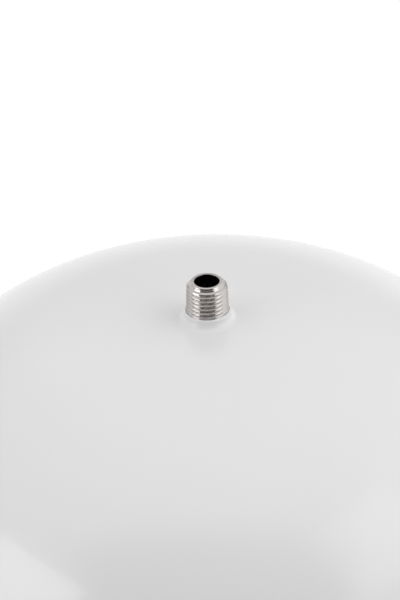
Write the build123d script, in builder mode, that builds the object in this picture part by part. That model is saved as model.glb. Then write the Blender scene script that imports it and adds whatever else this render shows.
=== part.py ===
from build123d import *
import math
import os

# Driving dimensions of the storage tank, in millimetres.
# The origin is on the floor under the centre of the stand, +Z runs up through
# the water port, and the air valve stands out along +X.
tank_height = 355.0
shell_radius = 114.0
shell_wall = 1.2
crown_radius = 270.0
knuckle_radius = 78.0
bottom_clearance = 14.0

# Girth joint: the rim of the lower half is stepped in and slips inside the upper half
girth_height = 178.0
joggle_height = 5.0
weld_width = 7.0
weld_rise = 1.1
rim_height = 12.0
slip_gap = 0.05

# Water port: a quarter inch taper pipe thread on a flanged nipple
thread_radius = 6.72
thread_length = 8.65
pilot_radius = 5.3
pilot_height = 1.6
shank_radius = 6.9
bore_radius = 4.0
bore_chamfer = 0.25
port_flange_radius = 15.0
port_flange_thickness = 2.5
neck_height = 3.1
neck_base_radius = 7.7
neck_top_radius = 7.45
neck_lip_fillet = 0.45
neck_gap = 0.05
land_drop = 0.5
land_radius = 16.2
spout_radius = 5.5
spout_gap = 0.1
spout_depth = 5.0
ring_seat_radius = 10.1
ring_wire_radius = 0.7
ring_groove_width = 2.2

# Liner, diaphragm and the ring that clenches them together
liner_gap = 0.1
liner_wall = 1.5
liner_step_radius = 16.5
clench_depth = 4.7
clench_height = 10.0
clench_wall = 1.0
waist_gap = 0.2
waist_slope_height = 4.0
diaphragm_wall = 2.0
diaphragm_radius = 106.3
diaphragm_floor = 118.0
diaphragm_corner = 45.0
diaphragm_shoulder = 3.0

# Stand
stand_height = 46.6
stand_top_radius = 99.8
stand_base_radius = 102.9
stand_wall = 2.5
stand_lip_fillet = 0.9
foot_radius = 104.5
foot_width = 6.0
foot_thickness = 3.0
seat_gap = 0.05
seat_end_angle = 54.0
rib_count = 12
rib_thickness = 2.0
rib_foot_height = 6.0

# Air valve, on a small flat pad in the side of the lower half
valve_height = 112.0
pad_radius = 12.0
pad_inner = 112.0
pad_outer = 114.2
pad_fillet = 0.15
pad_hole_radius = 4.65
stem_radius = 3.85
stem_length = 20.0
stem_chamfer = 0.5
stem_head_radius = 8.0
stem_head_thickness = 2.5
grommet_thickness = 3.0
air_bore_radius = 1.9
chamber_radius = 2.65
chamber_depth = 10.0
cone_length = 2.2
washer_thickness = 1.0
washer_radius = 8.0
nut_thickness = 3.5
nut_across_flats = 12.7
nut_corner_angle = 30.0
fit_gap = 0.05

# Valve core
plug_radius = 2.6
plug_length = 5.7
plug_recess = 1.0
plug_hole_radius = 0.95
key_width = 1.9
key_depth = 1.6
sleeve_radius = 2.2
sleeve_neck_radius = 1.65
sleeve_length = 8.5
sleeve_neck_length = 5.4
spring_room_radius = 1.15
shelf_thickness = 2.0
pin_hole_radius = 0.7
pin_radius = 0.5
pin_recess = 0.3
collar_radius = 1.05
collar_thickness = 0.6
collar_gap = 0.3
spring_wire_radius = 0.14
spring_coil_radius = 0.84
spring_turns = 6
core_seal_radius = 1.45
core_seal_thickness = 1.2
core_seal_gap = 0.02
pin_foot_radius = 1.2
pin_foot_thickness = 1.0

# Valve cap
cap_radius = 5.4
cap_length = 11.7
cap_end_wall = 1.3
cap_edge_fillet = 0.8
cap_bore_radius = 3.95
cap_rib_count = 20
cap_rib_radius = 0.45
cap_rib_length = 8.5
cap_seal_radius = 3.75
cap_seal_thickness = 0.6
cap_seal_gap = 0.05

# Places that follow from the driving dimensions
apex = tank_height - pilot_height - thread_length - neck_height
knuckle_centre = shell_radius - knuckle_radius
crown_drop = math.sqrt((crown_radius - knuckle_radius) ** 2 - knuckle_centre**2)
tangent_angle = math.degrees(math.atan2(crown_drop, knuckle_centre))
dome_depth = crown_radius - crown_drop
upper_shoulder = apex - dome_depth
lower_shoulder = bottom_clearance + dome_depth
inner_radius = shell_radius - shell_wall
neck_top = apex + neck_height
land_height = apex - shell_wall - land_drop
flange_underside = land_height - port_flange_thickness
spout_top = flange_underside + spout_depth
rim_radius = inner_radius - slip_gap
rim_top = girth_height + rim_height
joggle_foot = girth_height - joggle_height
weld_foot = girth_height - weld_width
clench_radius = inner_radius - liner_gap
clench_lip_radius = clench_radius - clench_depth
clench_top = rim_top + clench_height
liner_inset = shell_wall + liner_gap
liner_radius = shell_radius - liner_inset
liner_inner_radius = liner_radius - liner_wall
waist_radius = clench_lip_radius - waist_gap
flange_rim_radius = clench_radius - clench_wall - liner_gap
flange_top = clench_top - clench_wall
flange_foot = flange_top - diaphragm_wall
stem_tip = pad_outer + stem_length
chamber_floor = stem_tip - chamber_depth
head_face = pad_inner - grommet_thickness
head_back = head_face - stem_head_thickness
plug_outer = stem_tip - plug_recess
sleeve_outer = plug_outer - plug_length
sleeve_inner = sleeve_outer - sleeve_length
sleeve_step = sleeve_inner + sleeve_neck_length
spring_foot = sleeve_inner + shelf_thickness
collar_outer = sleeve_outer - collar_gap
spring_length = collar_outer - collar_thickness - spring_foot - 2 * spring_wire_radius
core_seal_outer = sleeve_inner - core_seal_gap
pin_inner = core_seal_outer - core_seal_thickness - pin_foot_thickness
cap_seal_inner = stem_tip + cap_seal_gap
cap_ceiling = cap_seal_inner + cap_seal_thickness + cap_seal_gap
cap_outer = cap_ceiling + cap_end_wall
cap_mouth = cap_outer - cap_length
valve_axis = Axis((0, 0, valve_height), (1, 0, 0))
valve_plane = Plane(origin=(0, 0, valve_height), x_dir=(1, 0, 0), z_dir=(0, -1, 0))

os.makedirs("parts", exist_ok=True)


def dome_curve(shoulder, inset, start_radius, up):
    """Crown and knuckle arcs of a pressed end; returns where they start and end."""
    crown = crown_radius - inset
    start_angle = math.degrees(math.acos(start_radius / crown))
    crown_arc = CenterArc(
        (0, shoulder - up * crown_drop), crown, up * start_angle, up * (tangent_angle - start_angle)
    )
    knuckle_arc = CenterArc(
        (knuckle_centre, shoulder), knuckle_radius - inset, up * tangent_angle, -up * tangent_angle
    )
    return crown_arc @ 0, knuckle_arc @ 1


# Upper half: straight wall, pressed end and a drawn neck around the port
with BuildPart() as upper_shell:
    with BuildSketch(Plane.XZ) as upper_profile:
        with BuildLine():
            outer_start, outer_end = dome_curve(upper_shoulder, 0, neck_base_radius, 1)
            inner_start, inner_end = dome_curve(upper_shoulder, shell_wall, land_radius, 1)
            Polyline(outer_end, (shell_radius, girth_height), (inner_radius, girth_height), inner_end)
            Polyline(
                inner_start,
                (land_radius, land_height),
                (shank_radius + neck_gap, land_height),
                (shank_radius + neck_gap, neck_top),
                (neck_top_radius, neck_top),
                outer_start,
            )
        make_face()
        fillet(upper_profile.vertices().group_by(Axis.Y)[-1].sort_by(Axis.X)[-1], neck_lip_fillet)
    revolve(axis=Axis.Z)
upper_shell.part.label = "upper_shell"
export_step(upper_shell.part, "parts/upper_shell.step")

# Lower half: stepped rim, girth weld, straight wall, pressed end and the valve's flat pad
with BuildPart() as lower_shell:
    with BuildSketch(Plane.XZ):
        with BuildLine():
            outer_start, outer_end = dome_curve(lower_shoulder, 0, 0, -1)
            inner_start, inner_end = dome_curve(lower_shoulder, shell_wall, 0, -1)
            Line(outer_end, (shell_radius, weld_foot))
            ThreePointArc(
                (shell_radius, weld_foot),
                (shell_radius + weld_rise, girth_height - weld_width / 2),
                (shell_radius, girth_height),
            )
            Polyline(
                (shell_radius, girth_height),
                (rim_radius, girth_height),
                (rim_radius, rim_top),
                (rim_radius - shell_wall, rim_top),
                (rim_radius - shell_wall, girth_height),
                (inner_radius, joggle_foot),
                inner_end,
            )
            Line(inner_start, outer_start)
        make_face()
    revolve(axis=Axis.Z)
    with BuildSketch(Plane.YZ.offset(pad_inner)):
        with Locations((0, valve_height)):
            Circle(pad_radius)
    extrude(amount=pad_outer - pad_inner)
    fillet(lower_shell.edges(Select.LAST).filter_by(GeomType.CIRCLE).sort_by(Axis.X)[-1], pad_fillet)
    with BuildSketch(Plane.YZ.offset(head_back)):
        with Locations((0, valve_height)):
            Circle(pad_hole_radius)
    extrude(amount=stem_length, mode=Mode.SUBTRACT)
lower_shell.part.label = "lower_shell"
export_step(lower_shell.part, "parts/lower_shell.step")

# Port nipple: pilot, thread blank, shank, and a flange grooved for the sealing ring
with BuildPart() as port_nipple:
    with BuildSketch(Plane.XZ) as nipple_profile:
        with BuildLine():
            Polyline(
                (bore_radius, tank_height),
                (pilot_radius, tank_height),
                (thread_radius, tank_height - pilot_height),
                (thread_radius, neck_top),
                (shank_radius, neck_top),
                (shank_radius, land_height),
                (port_flange_radius, land_height),
                (port_flange_radius, flange_underside),
                (spout_radius + spout_gap, flange_underside),
                (spout_radius + spout_gap, spout_top + spout_gap),
                (bore_radius, spout_top + spout_gap),
                close=True,
            )
        make_face()
        with Locations((ring_seat_radius, flange_underside + ring_wire_radius)):
            Rectangle(ring_groove_width, 2 * ring_wire_radius, mode=Mode.SUBTRACT)
        mouth = nipple_profile.vertices().group_by(Axis.Y)[-1].sort_by(Axis.X)[0]
        chamfer(mouth, bore_chamfer)
    revolve(axis=Axis.Z)
port_nipple.part.label = "port_nipple"
export_step(port_nipple.part, "parts/port_nipple.step")

# Sealing ring between the nipple's flange and the liner
with BuildPart() as port_o_ring:
    with BuildSketch(Plane.XZ):
        with Locations((ring_seat_radius, flange_underside + ring_wire_radius)):
            Circle(ring_wire_radius)
    revolve(axis=Axis.Z)
port_o_ring.part.label = "port_o_ring"
export_step(port_o_ring.part, "parts/port_o_ring.step")

# Liner of the water side, with a spout into the nipple and a rim held by the clench ring
with BuildPart() as liner:
    with BuildSketch(Plane.XZ):
        with BuildLine():
            outer_start, outer_end = dome_curve(upper_shoulder, liner_inset, liner_step_radius, 1)
            inner_start, inner_end = dome_curve(
                upper_shoulder, liner_inset + liner_wall, liner_step_radius + liner_wall, 1
            )
            Polyline(
                outer_end,
                (liner_radius, clench_top + waist_slope_height),
                (waist_radius, clench_top),
                (waist_radius, flange_top),
                (flange_rim_radius, flange_top),
                (flange_rim_radius, flange_foot),
                (waist_radius - liner_wall, flange_foot),
                (waist_radius - liner_wall, clench_top),
                (liner_inner_radius, clench_top + waist_slope_height + liner_wall / 2),
                inner_end,
            )
            Polyline(
                inner_start,
                (liner_step_radius + liner_wall, flange_underside - liner_wall),
                (bore_radius, flange_underside - liner_wall),
                (bore_radius, spout_top),
                (spout_radius, spout_top),
                (spout_radius, flange_underside),
                (liner_step_radius, flange_underside),
                outer_start,
            )
        make_face()
    revolve(axis=Axis.Z)
liner.part.label = "liner"
export_step(liner.part, "parts/liner.step")

# Diaphragm as moulded: a beaded edge and a dish that hangs into the lower half
with BuildPart() as diaphragm:
    with BuildSketch(Plane.XZ):
        with BuildLine():
            Line((0, diaphragm_floor + diaphragm_wall), (0, diaphragm_floor))
            FilletPolyline(
                (0, diaphragm_floor),
                (diaphragm_radius, diaphragm_floor),
                (diaphragm_radius, rim_top + clench_wall - diaphragm_shoulder),
                radius=diaphragm_corner,
            )
            Polyline(
                (diaphragm_radius, rim_top + clench_wall - diaphragm_shoulder),
                (waist_radius, rim_top + clench_wall),
                (flange_rim_radius, rim_top + clench_wall),
                (flange_rim_radius, flange_foot),
                (diaphragm_radius - diaphragm_wall, flange_foot),
            )
            FilletPolyline(
                (diaphragm_radius - diaphragm_wall, flange_foot),
                (diaphragm_radius - diaphragm_wall, diaphragm_floor + diaphragm_wall),
                (0, diaphragm_floor + diaphragm_wall),
                radius=diaphragm_corner - diaphragm_wall,
            )
        make_face()
    revolve(axis=Axis.Z)
diaphragm.part.label = "diaphragm"
export_step(diaphragm.part, "parts/diaphragm.step")

# Clench ring: a rolled channel, open towards the axis, standing on the lower half's rim
with BuildPart() as clench_ring:
    with BuildSketch(Plane.XZ):
        with BuildLine():
            Polyline(
                (clench_lip_radius, rim_top),
                (clench_radius, rim_top),
                (clench_radius, clench_top),
                (clench_lip_radius, clench_top),
                (clench_lip_radius, clench_top - clench_wall),
                (clench_radius - clench_wall, clench_top - clench_wall),
                (clench_radius - clench_wall, rim_top + clench_wall),
                (clench_lip_radius, rim_top + clench_wall),
                close=True,
            )
        make_face()
    revolve(axis=Axis.Z)
clench_ring.part.label = "clench_ring"
export_step(clench_ring.part, "parts/clench_ring.step")

# One gusset of the stand, between its skirt, its foot and the underside of its seat
seat_radius = knuckle_radius + seat_gap
under_radius = seat_radius + stand_wall
lip_middle = seat_radius + stand_wall / 2
lip_angle = math.radians(seat_end_angle - 1)
skirt_middle = stand_wall / 2
with BuildPart() as stand_rib:
    with BuildSketch(Plane.XZ):
        with BuildLine():
            Polyline(
                (
                    knuckle_centre + lip_middle * math.cos(lip_angle),
                    lower_shoulder - lip_middle * math.sin(lip_angle),
                ),
                (stand_base_radius - skirt_middle, rib_foot_height),
                (stand_top_radius - skirt_middle, stand_height - stand_wall),
                close=True,
            )
        make_face()
        with Locations((knuckle_centre, lower_shoulder)):
            Circle(lip_middle, mode=Mode.SUBTRACT)
    extrude(amount=rib_thickness / 2, both=True)

# Stand: one moulding of a flared skirt, a foot, a seat that follows the tank and the gussets
seat_top_angle = math.degrees(math.asin((lower_shoulder - stand_height) / seat_radius))
skirt_reach = stand_top_radius - stand_wall - knuckle_centre
under_angle = math.degrees(math.acos(skirt_reach / under_radius))
with BuildPart() as base_stand:
    with BuildSketch(Plane.XZ) as stand_profile:
        with BuildLine():
            seat = CenterArc(
                (knuckle_centre, lower_shoulder),
                seat_radius,
                -seat_top_angle,
                seat_top_angle - seat_end_angle,
            )
            underside = CenterArc(
                (knuckle_centre, lower_shoulder),
                under_radius,
                -seat_end_angle,
                seat_end_angle - under_angle,
            )
            Line(seat @ 1, underside @ 0)
            Polyline(
                underside @ 1,
                (stand_base_radius - stand_wall, foot_thickness),
                (foot_radius - foot_width, foot_thickness),
                (foot_radius - foot_width, 0),
                (foot_radius, 0),
                (foot_radius, foot_thickness),
                (stand_base_radius, foot_thickness),
                (stand_top_radius, stand_height),
                seat @ 0,
            )
        make_face()
        lip = stand_profile.vertices().group_by(Axis.Y)[-1].sort_by(Axis.X)[-1]
        fillet(lip, stand_lip_fillet)
    revolve(axis=Axis.Z)
    with PolarLocations(0, rib_count):
        add(stand_rib.part)
base_stand.part.label = "base_stand"
export_step(base_stand.part, "parts/base_stand.step")

# Valve stem: a head inside the tank, a threaded stem through the pad, and the core's chamber
with BuildPart() as valve_stem:
    with BuildSketch(valve_plane) as stem_profile:
        with BuildLine():
            Polyline(
                (head_back, air_bore_radius),
                (head_back, stem_head_radius),
                (head_face, stem_head_radius),
                (head_face, stem_radius),
                (stem_tip, stem_radius),
                (stem_tip, chamber_radius),
                (chamber_floor, chamber_radius),
                (chamber_floor - cone_length, air_bore_radius),
                close=True,
            )
        make_face()
        chamfer(stem_profile.vertices().group_by(Axis.X)[-1].sort_by(Axis.Y)[-1], stem_chamfer)
    revolve(axis=valve_axis)
valve_stem.part.label = "valve_stem"
export_step(valve_stem.part, "parts/valve_stem.step")

# Grommet that seals the stem to the pad
with BuildPart() as valve_grommet:
    with BuildSketch(valve_plane):
        with BuildLine():
            Polyline(
                (head_face, stem_radius + fit_gap),
                (head_face, stem_head_radius),
                (pad_inner, stem_head_radius),
                (pad_inner, pad_hole_radius - fit_gap),
                (pad_outer, pad_hole_radius - fit_gap),
                (pad_outer, stem_radius + fit_gap),
                close=True,
            )
        make_face()
    revolve(axis=valve_axis)
valve_grommet.part.label = "valve_grommet"
export_step(valve_grommet.part, "parts/valve_grommet.step")

# Washer under the lock nut
with BuildPart() as valve_washer:
    with BuildSketch(Plane.YZ.offset(pad_outer)):
        with Locations((0, valve_height)):
            Circle(washer_radius)
            Circle(stem_radius + fit_gap, mode=Mode.SUBTRACT)
    extrude(amount=washer_thickness)
valve_washer.part.label = "valve_washer"
export_step(valve_washer.part, "parts/valve_washer.step")

# Hexagon lock nut, its outer corners turned to a cone
nut_foot = pad_outer + washer_thickness
nut_face = nut_foot + nut_thickness
nut_corner = nut_across_flats / math.sqrt(3)
corner_drop = (nut_corner - nut_across_flats / 2) * math.tan(math.radians(nut_corner_angle))
with BuildPart() as valve_nut:
    with BuildSketch(Plane.YZ.offset(nut_foot)):
        with Locations((0, valve_height)):
            RegularPolygon(nut_across_flats / 2, 6, major_radius=False)
            Circle(stem_radius + fit_gap, mode=Mode.SUBTRACT)
    extrude(amount=nut_thickness)
    with BuildSketch(valve_plane):
        with BuildLine():
            Polyline(
                (nut_foot, 0),
                (nut_foot, nut_corner),
                (nut_face - corner_drop, nut_corner),
                (nut_face, nut_across_flats / 2),
                (nut_face, 0),
                close=True,
            )
        make_face()
    revolve(axis=valve_axis, mode=Mode.INTERSECT)
valve_nut.part.label = "valve_nut"
export_step(valve_nut.part, "parts/valve_nut.step")

# Core plug: screws into the chamber, with two flats at its outer end for the key
with BuildPart() as core_plug:
    with BuildSketch(Plane.YZ.offset(sleeve_outer)):
        with Locations((0, valve_height)):
            Circle(plug_radius)
            Circle(plug_hole_radius, mode=Mode.SUBTRACT)
    extrude(amount=plug_length)
    with BuildSketch(Plane.YZ.offset(plug_outer)):
        with Locations((0, valve_height + plug_radius), (0, valve_height - plug_radius)):
            Rectangle(2 * plug_radius, 2 * (plug_radius - key_width))
    extrude(amount=-key_depth, mode=Mode.SUBTRACT)
core_plug.part.label = "core_plug"
export_step(core_plug.part, "parts/core_plug.step")

# Core sleeve: carries the gasket outside and the spring inside
with BuildPart() as core_sleeve:
    with BuildSketch(valve_plane):
        with BuildLine():
            Polyline(
                (sleeve_inner, pin_hole_radius),
                (sleeve_inner, sleeve_neck_radius),
                (sleeve_step, sleeve_neck_radius),
                (sleeve_step, sleeve_radius),
                (sleeve_outer, sleeve_radius),
                (sleeve_outer, spring_room_radius),
                (spring_foot, spring_room_radius),
                (spring_foot, pin_hole_radius),
                close=True,
            )
        make_face()
    revolve(axis=valve_axis)
core_sleeve.part.label = "core_sleeve"
export_step(core_sleeve.part, "parts/core_sleeve.step")

# Gasket on the sleeve's neck, tapered like the seat in the stem
with BuildPart() as core_gasket:
    with BuildSketch(valve_plane):
        with BuildLine():
            Polyline(
                (chamber_floor - cone_length, sleeve_neck_radius + fit_gap),
                (chamber_floor - cone_length, air_bore_radius - fit_gap),
                (chamber_floor, chamber_radius - fit_gap),
                (chamber_floor, sleeve_neck_radius + fit_gap),
                close=True,
            )
        make_face()
    revolve(axis=valve_axis)
core_gasket.part.label = "core_gasket"
export_step(core_gasket.part, "parts/core_gasket.step")

# Core pin: rod, spring collar and the foot behind its seal
with BuildPart() as core_pin:
    with BuildSketch(valve_plane):
        with BuildLine():
            Polyline(
                (pin_inner, 0),
                (pin_inner, pin_foot_radius),
                (pin_inner + pin_foot_thickness, pin_foot_radius),
                (pin_inner + pin_foot_thickness, pin_radius),
                (collar_outer - collar_thickness, pin_radius),
                (collar_outer - collar_thickness, collar_radius),
                (collar_outer, collar_radius),
                (collar_outer, pin_radius),
                (stem_tip - pin_recess, pin_radius),
                (stem_tip - pin_recess, 0),
                close=True,
            )
        make_face()
    revolve(axis=valve_axis)
core_pin.part.label = "core_pin"
export_step(core_pin.part, "parts/core_pin.step")

# Seal on the pin's foot, pulled against the sleeve by the spring
with BuildPart() as core_seal:
    with BuildSketch(Plane.YZ.offset(core_seal_outer)):
        with Locations((0, valve_height)):
            Circle(core_seal_radius)
            Circle(pin_radius + fit_gap, mode=Mode.SUBTRACT)
    extrude(amount=-core_seal_thickness)
core_seal.part.label = "core_seal"
export_step(core_seal.part, "parts/core_seal.step")

# Spring of the core, a round wire wound between the sleeve's shelf and the pin's collar
with BuildPart() as core_spring:
    with BuildLine() as coil_path:
        Helix(
            pitch=spring_length / spring_turns,
            height=spring_length,
            radius=spring_coil_radius,
            center=(spring_foot + spring_wire_radius, 0, valve_height),
            direction=(1, 0, 0),
        )
    with BuildSketch(Plane(origin=coil_path.line @ 0, z_dir=coil_path.line % 0)):
        Circle(spring_wire_radius)
    sweep(path=coil_path.line, is_frenet=True)
core_spring.part.label = "core_spring"
export_step(core_spring.part, "parts/core_spring.step")

# Cap: a moulded cup with grip ribs
with BuildPart() as valve_cap:
    with BuildSketch(valve_plane) as cap_profile:
        with BuildLine():
            Polyline(
                (cap_mouth, cap_bore_radius),
                (cap_mouth, cap_radius),
                (cap_outer, cap_radius),
                (cap_outer, 0),
                (cap_ceiling, 0),
                (cap_ceiling, cap_bore_radius),
                close=True,
            )
        make_face()
        fillet(cap_profile.vertices().group_by(Axis.X)[-1].sort_by(Axis.Y)[-1], cap_edge_fillet)
    revolve(axis=valve_axis)
    with BuildSketch(Plane.YZ.offset(cap_mouth)):
        with Locations((0, valve_height)):
            with PolarLocations(cap_radius, cap_rib_count):
                Circle(cap_rib_radius)
    extrude(amount=cap_rib_length)
valve_cap.part.label = "valve_cap"
export_step(valve_cap.part, "parts/valve_cap.step")

# Soft disc inside the cap that closes the stem's mouth
with BuildPart() as cap_seal:
    with BuildSketch(Plane.YZ.offset(cap_seal_inner)):
        with Locations((0, valve_height)):
            Circle(cap_seal_radius)
    extrude(amount=cap_seal_thickness)
cap_seal.part.label = "cap_seal"
export_step(cap_seal.part, "parts/cap_seal.step")
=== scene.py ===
import math

import bmesh
import bpy
from bpy.props import FloatProperty, FloatVectorProperty, IntProperty, PointerProperty
from mathutils import Matrix, Vector


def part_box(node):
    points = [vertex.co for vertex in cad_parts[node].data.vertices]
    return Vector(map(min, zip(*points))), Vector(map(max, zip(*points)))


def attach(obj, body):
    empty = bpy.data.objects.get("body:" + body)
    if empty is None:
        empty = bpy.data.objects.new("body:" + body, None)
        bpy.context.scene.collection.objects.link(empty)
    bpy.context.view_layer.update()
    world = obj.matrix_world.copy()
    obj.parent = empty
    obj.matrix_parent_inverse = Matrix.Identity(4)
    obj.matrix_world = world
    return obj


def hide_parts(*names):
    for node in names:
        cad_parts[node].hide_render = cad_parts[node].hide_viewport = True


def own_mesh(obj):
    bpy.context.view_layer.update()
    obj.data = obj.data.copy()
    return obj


bl_info = {
    "name": "Storage Tank Dresser",
    "version": (1, 0, 0),
    "blender": (4, 5, 0),
    "location": "View3D > Sidebar > Tank",
    "description": "Shapes and finishes a reverse osmosis storage tank around its packed solids",
    "category": "Object",
}

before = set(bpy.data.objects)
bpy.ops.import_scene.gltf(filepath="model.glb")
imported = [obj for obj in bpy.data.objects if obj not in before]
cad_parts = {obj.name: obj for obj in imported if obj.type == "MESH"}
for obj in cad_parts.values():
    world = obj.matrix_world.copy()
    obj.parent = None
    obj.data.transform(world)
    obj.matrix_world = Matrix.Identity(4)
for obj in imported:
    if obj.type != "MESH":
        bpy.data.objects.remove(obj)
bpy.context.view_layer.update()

NIPPLE_LOW, NIPPLE_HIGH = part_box("port_nipple")
UPPER_LOW, UPPER_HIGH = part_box("upper_shell")
LOWER_LOW, LOWER_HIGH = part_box("lower_shell")
STAND_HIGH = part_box("base_stand")[1]
STEM_LOW, STEM_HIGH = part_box("valve_stem")
CAP_LOW, CAP_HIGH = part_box("valve_cap")
SPRING_LOW, SPRING_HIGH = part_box("core_spring")
VALVE_HEIGHT = (STEM_LOW.z + STEM_HIGH.z) / 2
FULL_TURN = 2 * math.pi
SMOOTH_ANGLE = math.radians(32)
CORNER_ANGLE = math.radians(25)
LIP_END = math.radians(12)

# Distance from point to point along an outline, in metres
THREAD_ROW = 0.00008
RIB_ROW = 0.00022
WALL_ROW = 0.006
INSIDE_ROW = 0.02

# Faces round a turned piece, and round each ripple or rib of one
SHELL_FACES = 256
NIPPLE_FACES = 160
STEM_FACES = 96
PAD_FACES = 64
RIPPLE_FACES = 6
RIB_FACES = 16

# Half width of a ridge, in ridge spacings, at which ridges touch
TOUCHING = 0.5

# Steps of an arc or a wound wire
OUTER_STEPS = 90
INNER_STEPS = 60
SEAT_STEPS = 24
GUSSET_STEPS = 20
FLARE_STEPS = 16
BEAD_STEPS = 14
EDGE_STEPS = 6
COIL_STEPS = 32
WIRE_STEPS = 12

AROUND_Z = Matrix.Identity(4)
AROUND_X = Matrix.Translation((0, 0, VALVE_HEIGHT)) @ Matrix.Rotation(math.pi / 2, 4, "Y")

# Name, place, size and power of each lamp
LAMPS = (
    ("left_softbox", (-1.315, -0.663, 0.70), (0.93, 0.70), 4.3),
    ("right_softbox", (1.15, -0.58, 1.15), (0.9, 0.9), 2.1),
    ("top_softbox", (0.0, -0.2, 1.6), (1.1, 1.1), 2.0),
)

# The studio's light by direction, as (where it starts, where it is full). Glossy rays, which
# make the reflections, have their own spans for the sides and the right-hand window.
SIDE_SPAN = (0.30, 0.60)
SIDE_SPAN_GLOSSY = (0.62, 0.72)
BACK_SPAN = (-0.55, -0.30)
WINDOW_SPAN = (0.45, 0.75)
REAR_SPAN = (0.10, 0.50)
HIGH_SPAN = (0.36, 0.58)
LOW_SPAN = (0.05, 0.25)
WINDOW_GLOW = 0.8
WINDOW_GLOW_GLOSSY = 0.35
REAR_DIM = -0.38
WALL_GLOW = 1.12
FRONT_GLOW = 0.08


def length(name, description, default):
    return FloatProperty(
        name=name, description=description, default=default, unit="LENGTH", precision=5
    )


def angle(name, description, degrees):
    return FloatProperty(
        name=name, description=description, default=math.radians(degrees), subtype="ANGLE"
    )


def number(name, description, default, **limits):
    return FloatProperty(name=name, description=description, default=default, **limits)


def amount(name, description, default):
    return IntProperty(name=name, description=description, default=default, min=3)


def colour(name, description, default):
    return FloatVectorProperty(
        name=name, description=description, default=default, subtype="COLOR", min=0, max=1
    )


class ShellSizes(bpy.types.PropertyGroup):
    """Sizes of the pressed and welded steel tank"""

    radius: length("Radius", "Outside radius of the straight wall", UPPER_HIGH.x)
    wall: length("Wall", "Thickness of the sheet steel", 0.0012)
    crown: length("Crown", "Radius of the shallow middle of a pressed end", 0.270)
    knuckle: length("Knuckle", "Radius of the tight bend beside the straight wall", 0.078)
    neck_height: length("Neck height", "Height of the drawn neck over the crown", 0.0031)
    neck_base: length("Neck base", "Radius of the neck where it leaves the crown", 0.0077)
    neck_top: length("Neck top", "Radius of the neck at its lip", 0.00745)
    neck_bore: length("Neck bore", "Radius of the hole through the neck", 0.00695)
    neck_lip: length("Neck lip", "Rounding of the neck's lip", 0.00045)
    neck_root: length("Neck root", "Radius of the flare at the neck's base", 0.0024)
    land: length("Land", "Radius of the flat seat under the neck", 0.0162)
    land_drop: length("Land drop", "How far the seat lies under the crown", 0.0005)
    weld_width: length("Weld width", "Height of the girth weld", 0.007)
    weld_rise: length("Weld rise", "How far the weld stands out", LOWER_HIGH.y - UPPER_HIGH.x)
    weld_ripple: length("Weld ripple", "Height of the ripples of the girth weld", 0.00022)
    weld_sink: length("Weld sink", "How deep the girth weld sits in the wall", 0.0004)
    weld_edge: length("Weld edge", "Rounding along the weld's edges", 0.0016)
    ripple_bow: number("Ripple bow", "How far a ripple bows, in ripples", 0.9)
    ripple_count: amount("Ripples", "Ripples round the girth weld", 240)
    joggle: length("Joggle", "Height of the step in the lower rim", 0.005)
    slip: length("Slip", "Gap between the rim and the upper half", 0.00005)
    pad: length("Pad", "Radius of the air valve's flat pad", 0.012)
    pad_inner: length("Pad inside", "Place of the pad's inner face along X", 0.112)
    pad_outer: length("Pad outside", "Place of the pad's outer face along X", 0.1142)
    pad_hole: length("Pad hole", "Radius of the hole in the pad", 0.00465)
    pad_edge: length("Pad edge", "Rounding of the pad's outer edge", 0.0002)


class NippleSizes(bpy.types.PropertyGroup):
    """Sizes of the threaded water nipple"""

    pitch: length("Pitch", "Distance from thread to thread", 0.0254 / 18)
    depth: length("Depth", "Depth of the thread", 0.00075)
    taper: number("Taper", "Loss of radius per unit of height", 1 / 32, min=0)
    crest: length("Crest", "Radius of the crests at the neck", 0.00686)
    pilot: length("Pilot", "Outside radius of the end face", 0.00494)
    pilot_height: length("Pilot height", "Height of the end face over the shoulder", 0.0018)
    face_fall: length("Face fall", "How far the end face falls towards its edge", 0.00006)
    collar: length("Collar", "Radius under the collar's upper band", 0.00520)
    collar_step: length("Collar step", "Height of the collar's upper band", 0.00052)
    collar_rest: length("Collar rest", "Radius over the collar's lower band", 0.00536)
    collar_foot: length("Collar foot", "Radius under the collar's lower band", 0.00556)
    collar_height: length("Collar height", "Height of the collar's two bands", 0.00095)
    ledge: length("Ledge", "Outside radius of the sloped ledge under the collar", 0.00635)
    ledge_fall: length("Ledge fall", "How far the ledge falls towards its edge", 0.0004)
    edge: length("Edge", "Rounding of turned edges", 0.00007)
    mouth: length("Mouth", "Chamfer of the water way's mouth", 0.00008)
    shank: length("Shank", "Radius inside the neck", 0.0069)
    bore: length("Bore", "Radius of the water way", 0.004)
    flange: length("Flange", "Radius of the flange inside the tank", NIPPLE_HIGH.x)
    flange_thickness: length("Flange thickness", "Thickness of the flange", 0.0025)
    socket: length("Socket", "Radius of the socket for the liner's spout", 0.0056)
    socket_depth: length("Socket depth", "Depth of that socket", 0.0051)
    groove: length("Groove", "Mid radius of the sealing groove", 0.0101)
    groove_width: length("Groove width", "Width of the sealing groove", 0.0022)
    groove_depth: length("Groove depth", "Depth of the sealing groove", 0.0014)
    start: number("Start", "Where the thread starts, in turns", 0.49)
    runout: length("Runout", "Height over which the thread fades in at the neck", 0.0005)


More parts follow.
